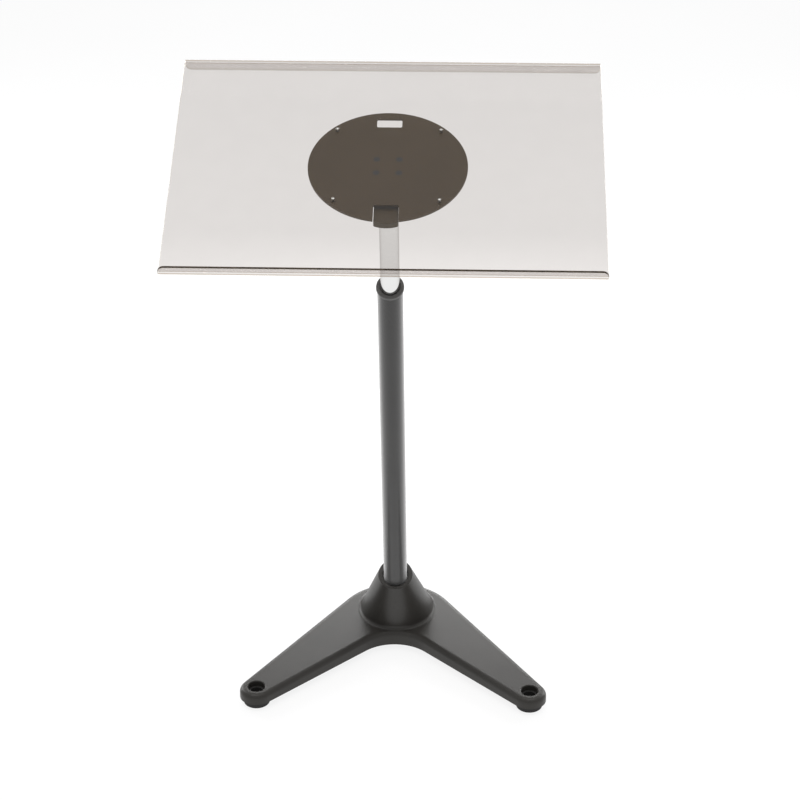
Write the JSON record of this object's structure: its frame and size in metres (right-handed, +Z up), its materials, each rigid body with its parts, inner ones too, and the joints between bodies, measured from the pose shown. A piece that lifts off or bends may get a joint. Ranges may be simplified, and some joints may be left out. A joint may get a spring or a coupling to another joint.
{
  "type": "music stand",
  "caption": "Music stand: a clear tray with a page ledge on a telescoping column that leans forward over a V-shaped cast base.",
  "frame": {"origin": "on the floor, at the centre of the rear glide's face, in the plane of symmetry", "axes": "+Z up; -Y towards the reader (the front, where the legs and the ledge are); +X to the reader's right as seen facing the stand from the front"},
  "size_m": [0.61, 0.6617, 1.0977],
  "materials": {
    "base_coat": "satin black powder coat",
    "column_coat": "satin black powder coat",
    "head_coat": "satin black powder coat",
    "lever_coat": "black",
    "plate_coat": "satin black powder coat",
    "cylinder_coat": "black",
    "post_chrome": "mirror chrome",
    "rod_steel": "polished",
    "zinc_steel": "zinc plated",
    "screw_steel": "bright",
    "black_screws": "black oxide",
    "glide_rubber": "matte",
    "seal_rubber": "matte",
    "black_plastic": "matte",
    "bearing_plastic": "matte",
    "tray_acrylic": "clear with a smoky tint, polished"
  },
  "bodies": {
    "base": {"base_casting": "base_coat", "left_glide": "glide_rubber", "right_glide": "glide_rubber", "rear_glide": "glide_rubber", "column_tube": "column_coat", "column_plug": "zinc_steel", "column_bush": "black_plastic", "base_bolt": "zinc_steel", "base_washer": "zinc_steel", "thrust_washer": "bearing_plastic", "rod_retaining_ring": "zinc_steel"},
    "rod": {"piston_rod": "rod_steel", "piston": "zinc_steel", "piston_seal": "seal_rubber"},
    "post": {"inner_post": "post_chrome", "post_guide_bush": "bearing_plastic", "spring_retainer": "bearing_plastic", "spring_cylinder": "cylinder_coat", "spring_centring_ring": "bearing_plastic", "rod_guide": "zinc_steel", "rod_seal": "seal_rubber", "valve_body": "zinc_steel", "push_rod_guide": "bearing_plastic", "head_casting": "head_coat", "grub_screws": "black_screws", "head_bolts": "black_screws", "lever_pin": "rod_steel", "mounting_plate": "plate_coat", "tray_sheet": "tray_acrylic", "tray_screws": "screw_steel", "tray_nuts": "screw_steel"},
    "lever": {"release_lever": "lever_coat", "paddle": "black_plastic"},
    "release": {"push_rod": "zinc_steel", "valve_pin": "rod_steel"}
  },
  "joints": [
    {"name": "tray_swivel", "type": "hinge", "parent": "base", "child": "rod", "pos_m": [0, -0.062, 0], "axis": [0, -0.314, 0.9494], "continuous": true},
    {"name": "height_slide", "type": "slide", "parent": "rod", "child": "post", "axis": [0, -0.314, 0.9494], "range_m": [-0.165, 0.06]},
    {"name": "lever_press", "type": "hinge", "parent": "post", "child": "lever", "pos_m": [0, -0.42647, 1.00014], "axis": [-1, 0, 0], "range_deg": [0, 4], "stiffness_Nm_per_rad": 8, "springref_deg": -8.59},
    {"name": "release_push", "type": "slide", "parent": "post", "child": "release", "axis": [0, 0.314, -0.9494], "range_m": [0, 0.0023]}
  ],
  "couplings": [
    {"joint": "release_push", "follows": "lever_press", "m_per_rad": 0.032}
  ]
}
